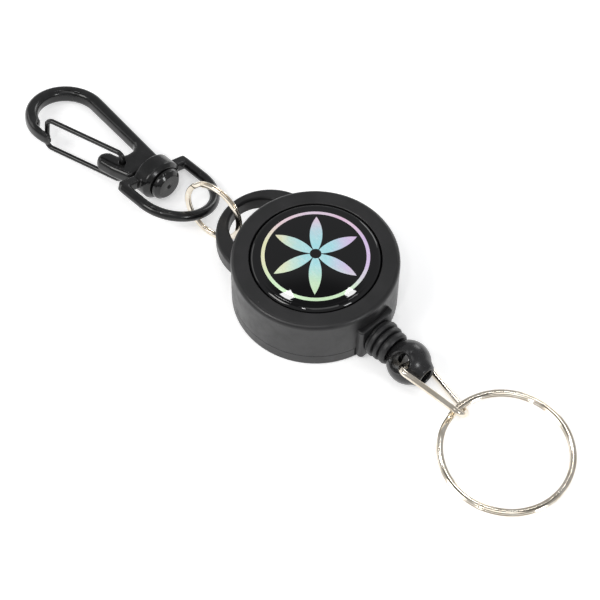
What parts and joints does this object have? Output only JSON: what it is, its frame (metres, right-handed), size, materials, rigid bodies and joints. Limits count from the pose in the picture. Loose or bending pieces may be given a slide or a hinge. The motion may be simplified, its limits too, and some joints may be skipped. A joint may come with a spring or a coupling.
{
  "type": "retractable badge reel",
  "caption": "Round retractable key and badge reel: domed case with a spring-wound cord, ribbed cord outlet, swivelling snap hook at one end and a split key ring at the other.",
  "frame": {"origin": "centre of the case's flat back face", "axes": "+X along the cord as it leaves the case, +Z out of the back face towards the domed label, +Y to the left seen along the cord"},
  "size_m": [0.1611, 0.039, 0.0162],
  "materials": {
    "case_plastic": "satin",
    "ball_plastic": "semi-gloss",
    "label_print": "printed",
    "clear_resin": "polished",
    "spring_steel": "rolled",
    "nickel_plate": "polished",
    "white_acetal": "satin",
    "nylon_cord": "braided",
    "black_rubber": "satin",
    "painted_zinc": "gloss"
  },
  "bodies": {
    "case": {"case_front": "case_plastic", "case_back": "case_plastic", "label_disc": "label_print", "label_dome": "clear_resin", "arbor": "spring_steel", "centre_screw": "nickel_plate", "mainspring": "spring_steel", "cord_lead": "nylon_cord", "cord_bush": "nickel_plate", "strain_relief": "black_rubber"},
    "spool": {"spool": "white_acetal", "spring_cover": "white_acetal", "cord_winding": "nylon_cord"},
    "cord_end": {"cord_end": "nylon_cord"},
    "ball": {"ball_end": "ball_plastic"},
    "link": {"wire_link": "nickel_plate"},
    "key_ring": {"key_ring": "nickel_plate"},
    "lug_ring": {"lug_ring": "nickel_plate"},
    "yoke": {"swivel_yoke": "painted_zinc"},
    "hook": {"hook_body": "painted_zinc", "swivel_pin": "painted_zinc"},
    "gate": {"wire_gate": "painted_zinc"}
  },
  "joints": [
    {"name": "cord_pull", "type": "slide", "parent": "case", "child": "cord_end", "axis": [1, 0, 0], "range_m": [0, 0.9], "stiffness_N_per_m": 0.8, "springref_m": -1.2},
    {"name": "spool_spin", "type": "hinge", "parent": "case", "child": "spool", "pos_m": [0, 0, 0.006], "axis": [0, 0, -1], "range_deg": [0, 3840], "deforming": ["mainspring"]},
    {"name": "ball_spin", "type": "hinge", "parent": "cord_end", "child": "ball", "pos_m": [0.02993, 0, 0.0053], "axis": [1, 0, 0], "continuous": true},
    {"name": "link_swing", "type": "hinge", "parent": "ball", "child": "link", "pos_m": [0.03043, 0, 0.0053], "axis": [0.1664, -0.7354, 0.6568], "range_deg": [-90, 90]},
    {"name": "key_ring_swing", "type": "hinge", "parent": "link", "child": "key_ring", "pos_m": [0.04464, 0.00075, 0.00253], "axis": [0, 1, 0], "range_deg": [-70, 70]},
    {"name": "lug_ring_swing", "type": "hinge", "parent": "case", "child": "lug_ring", "pos_m": [-0.0252, -0.0041, 0.0073], "axis": [-0.1828, 0.9717, -0.1498], "range_deg": [-50, 50]},
    {"name": "yoke_swing", "type": "hinge", "parent": "lug_ring", "child": "yoke", "pos_m": [-0.03172, -0.00599, 0.0057], "axis": [-0.0048, 0.9398, -0.3417], "range_deg": [-60, 60]},
    {"name": "hook_spin", "type": "hinge", "parent": "yoke", "child": "hook", "pos_m": [-0.0483, -0.00635, 0.00495], "axis": [0.9987, 0.0216, 0.0454], "continuous": true},
    {"name": "gate_open", "type": "hinge", "parent": "hook", "child": "gate", "pos_m": [-0.05474, -0.01071, 0.00547], "axis": [0.0486, -0.1898, -0.9806], "range_deg": [0, 28], "stiffness_Nm_per_rad": 0.02, "springref_deg": -22.92}
  ],
  "couplings": [
    {"joint": "spool_spin", "follows": "cord_pull", "rad_per_m": 74}
  ]
}
